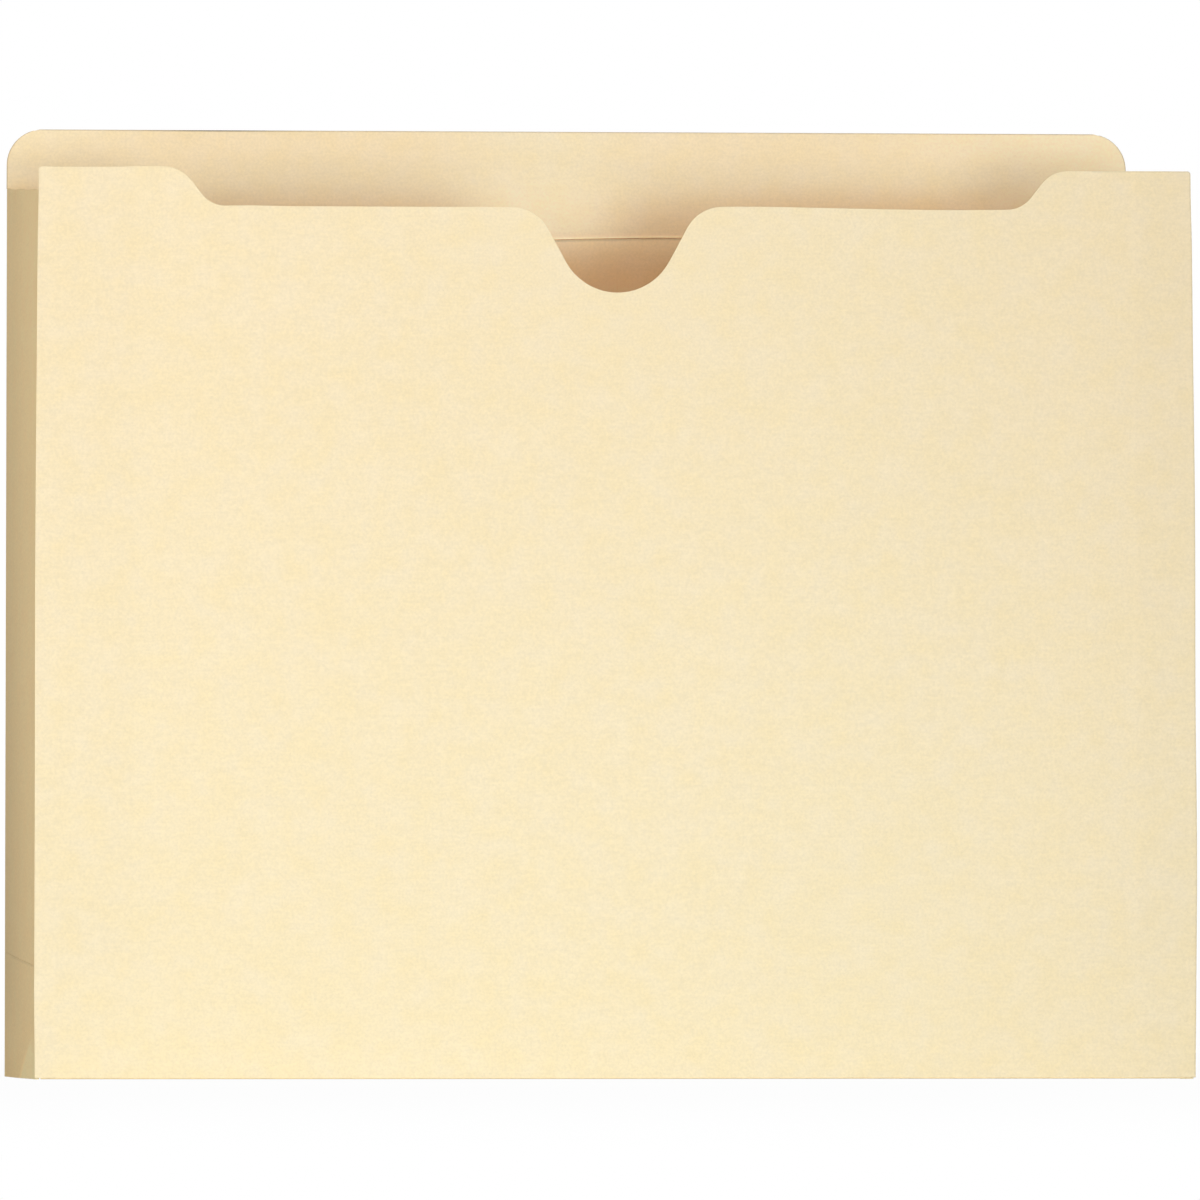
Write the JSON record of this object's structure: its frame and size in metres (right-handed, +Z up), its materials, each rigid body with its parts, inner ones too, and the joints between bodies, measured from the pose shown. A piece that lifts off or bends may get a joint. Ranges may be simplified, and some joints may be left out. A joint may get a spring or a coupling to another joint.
{
  "type": "file jacket",
  "caption": "Expanding manila file jacket with pleated side and bottom gussets, a doubled straight tab and a thumb notch, standing open.",
  "frame": {"origin": "on the standing surface, under the middle of the overall box", "axes": "+Z up towards the tab, +X along the width, to the right as a reader sees the front panel, +Y from the front panel to the back panel"},
  "size_m": [0.3096, 0.051, 0.251],
  "materials": {
    "manila_card": "uncoated manila card, warm buff",
    "gusset_card": "uncoated manila card, scored and folded",
    "dried_glue": "thin dried paper glue, translucent cream"
  },
  "bodies": {
    "back": {"back_panel": "manila_card", "tab_inner_ply": "manila_card", "tab_glue_line": "dried_glue", "left_corner_web": "gusset_card", "right_corner_web": "gusset_card"},
    "left_rear": {"left_gusset_rear_leaf": "gusset_card"},
    "left_front": {"left_gusset_front_leaf": "gusset_card"},
    "front": {"front_panel": "manila_card", "left_glue_flap": "gusset_card", "left_glue_line": "dried_glue", "right_glue_flap": "gusset_card", "right_glue_line": "dried_glue"},
    "right_rear": {"right_gusset_rear_leaf": "gusset_card"},
    "right_front": {"right_gusset_front_leaf": "gusset_card"},
    "bottom_rear": {"bottom_gusset_rear_leaf": "gusset_card"},
    "bottom_front": {"bottom_gusset_front_leaf": "gusset_card"}
  },
  "joints": [
    {"name": "gusset_fold", "type": "hinge", "parent": "back", "child": "left_rear", "pos_m": [-0.15437, 0.02488, 0.12], "axis": [0, 0, 1], "range_deg": [0, 72.5], "deforming": ["left_corner_web", "right_corner_web"]},
    {"name": "left_crease", "type": "hinge", "parent": "left_rear", "child": "left_front", "pos_m": [-0.14934, -0.00002, 0.12], "axis": [0, 0, 1], "range_deg": [-170.1, 0]},
    {"name": "front_left_fold", "type": "hinge", "parent": "left_front", "child": "front", "pos_m": [-0.14337, -0.02471, 0.12], "axis": [0, 0, 1], "range_deg": [0, 97.6]},
    {"name": "right_rear_fold", "type": "hinge", "parent": "back", "child": "right_rear", "pos_m": [0.14337, 0.02488, 0.12], "axis": [0, 0, 1], "range_deg": [-97.6, 0]},
    {"name": "right_crease", "type": "hinge", "parent": "right_rear", "child": "right_front", "pos_m": [0.14934, 0.00019, 0.12], "axis": [0, 0, 1], "range_deg": [0, 170.1]},
    {"name": "bottom_rear_fold", "type": "hinge", "parent": "back", "child": "bottom_rear", "pos_m": [-0.0055, 0.02488, 0.0004], "axis": [-1, 0, 0], "range_deg": [0, 71.2]},
    {"name": "bottom_front_fold", "type": "hinge", "parent": "front", "child": "bottom_front", "pos_m": [0.0055, -0.02488, 0.0004], "axis": [1, 0, 0], "range_deg": [0, 71.2]}
  ],
  "couplings": [
    {"joint": "left_crease", "follows": "gusset_fold", "ratio": -2.345},
    {"joint": "front_left_fold", "follows": "gusset_fold", "ratio": 1.345},
    {"joint": "right_rear_fold", "follows": "gusset_fold", "ratio": -1.345},
    {"joint": "right_crease", "follows": "gusset_fold", "ratio": 2.345},
    {"joint": "bottom_rear_fold", "follows": "gusset_fold", "ratio": 0.98135},
    {"joint": "bottom_front_fold", "follows": "gusset_fold", "ratio": 0.98135}
  ]
}
